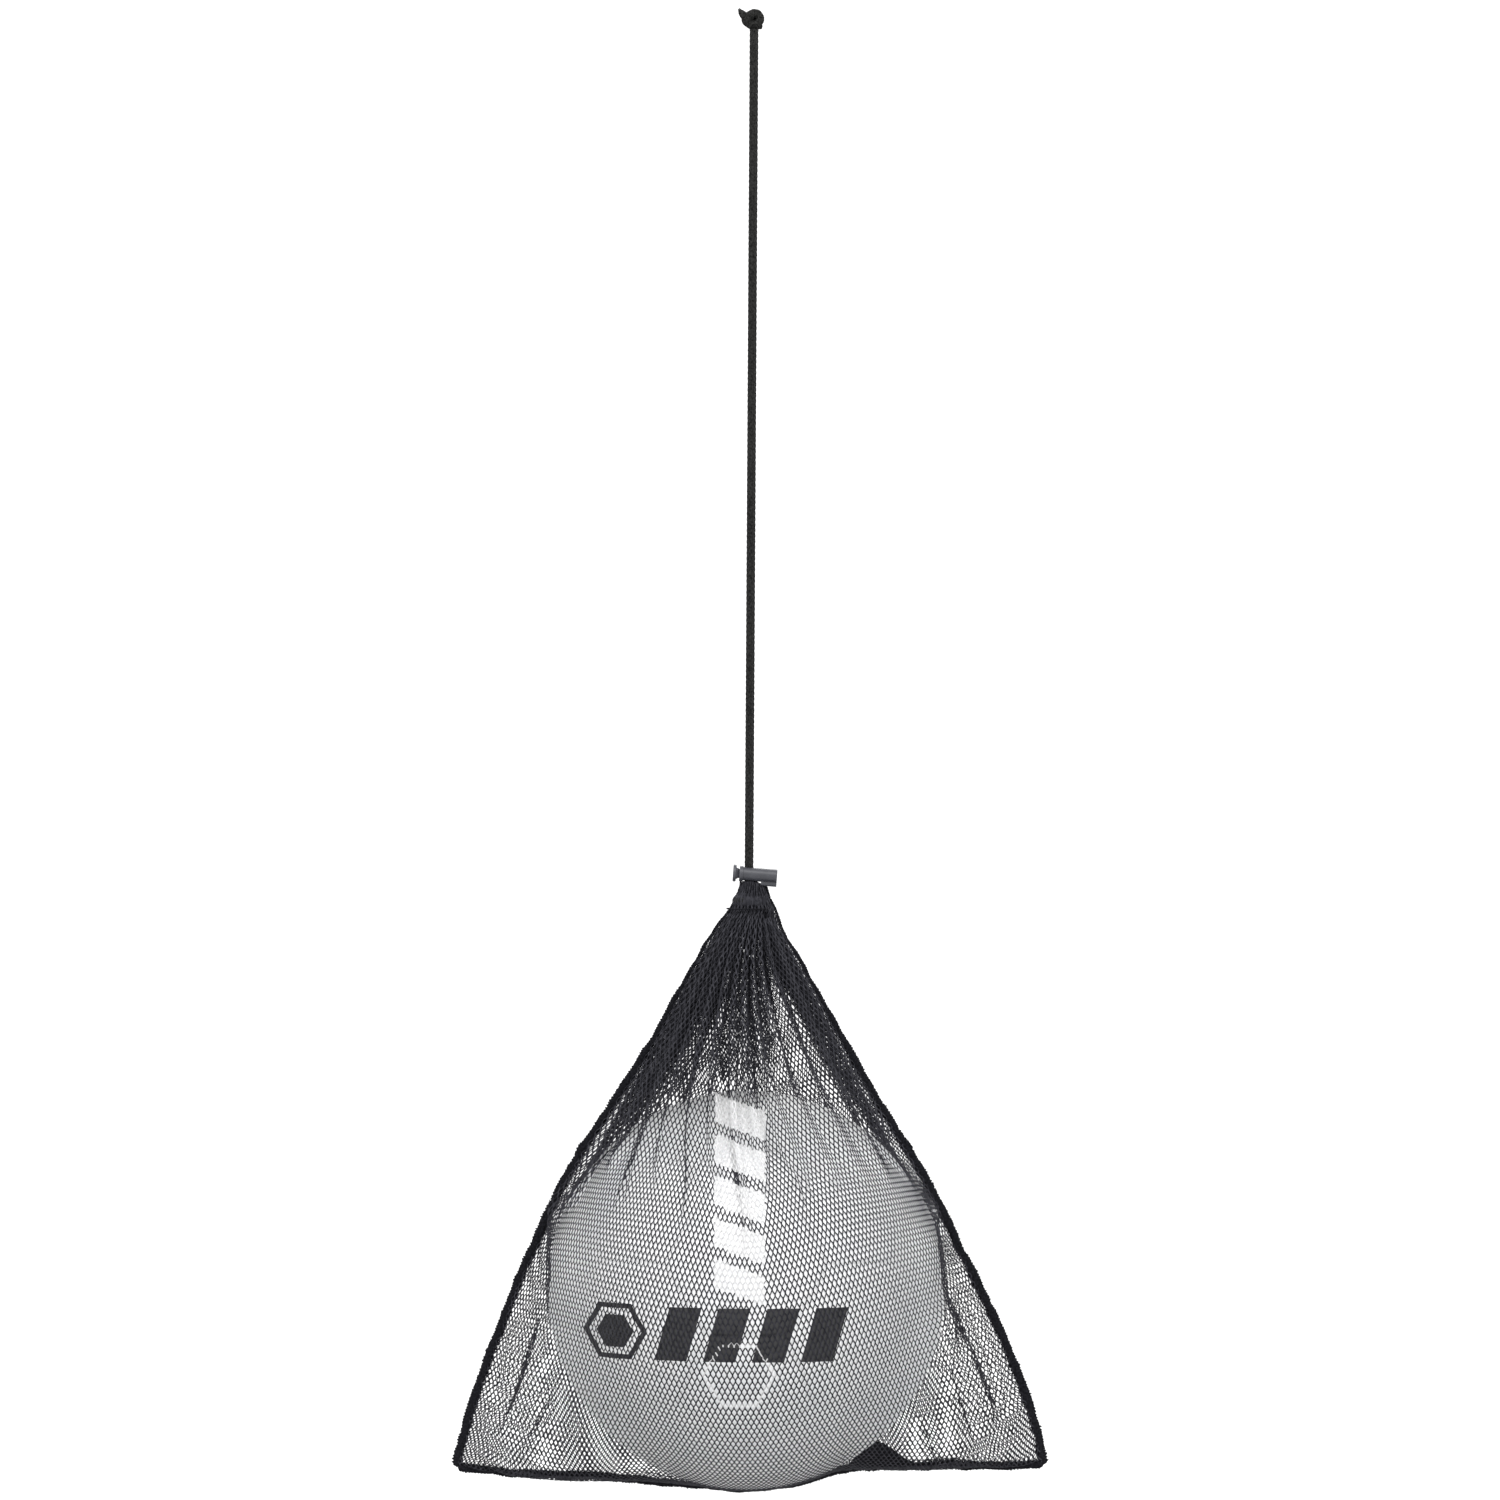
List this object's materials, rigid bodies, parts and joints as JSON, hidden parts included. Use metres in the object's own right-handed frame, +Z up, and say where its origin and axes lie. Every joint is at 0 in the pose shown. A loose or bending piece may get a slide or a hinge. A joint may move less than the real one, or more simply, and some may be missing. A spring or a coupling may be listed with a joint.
{
  "type": "mesh ball bag",
  "caption": "Drawstring mesh bag holding one ball, hung by its doubled drawcord, with a sliding sprung cord lock at the gathered neck and an end knot.",
  "frame": {"origin": "the hanging point just under the end knot, between the two cord strands, where a hook or finger carries the bag", "axes": "+Z up along the drawcord, +X to the right across the bag's width, -Y out of the bag's front"},
  "size_m": [0.326, 0.2232, 0.8256],
  "materials": {
    "net": "matte",
    "seam_binding": "matte",
    "thread": "matte",
    "cord": "matte",
    "lock_plastic": "satin",
    "spring_steel": "satin",
    "ball_cover": "satin",
    "ball_lining": "matte",
    "bladder_rubber": "matte",
    "valve_rubber": "matte"
  },
  "bodies": {
    "cord": {"front_cord_strand": "cord", "back_cord_strand": "cord", "end_knot": "cord", "front_cord_end": "cord", "back_cord_end": "cord"},
    "bag": {"front_net_panel": "net", "back_net_panel": "net", "left_side_seam": "seam_binding", "right_side_seam": "seam_binding", "bottom_seam": "seam_binding", "drawcord_channel": "net", "channel_cord": "cord", "channel_stitching": "thread"},
    "lock": {"lock_barrel": "lock_plastic", "lock_spring": "spring_steel"},
    "lock_button": {"lock_plunger": "lock_plastic"},
    "ball": {"ball_cover": "ball_cover", "ball_lining": "ball_lining", "ball_bladder": "bladder_rubber", "ball_valve": "valve_rubber"}
  },
  "joints": [
    {"name": "bag_twist", "type": "hinge", "parent": "cord", "child": "bag", "pos_m": [0, 0, -0.4734], "axis": [0, 0, 1], "range_deg": [-180, 180]},
    {"name": "lock_slide", "type": "slide", "parent": "cord", "child": "lock", "axis": [0, 0, 1], "range_m": [0, 0.45]},
    {"name": "lock_press", "type": "slide", "parent": "lock", "child": "lock_button", "axis": [0.9976, 0, -0.0698], "range_m": [0, 0.0017], "stiffness_N_per_m": 800, "springref_m": -0.003, "deforming": ["lock_spring"]},
    {"name": "ball_turn", "type": "hinge", "parent": "bag", "child": "ball", "pos_m": [0, 0, -0.6945], "axis": [0, 0, 1], "continuous": true}
  ]
}
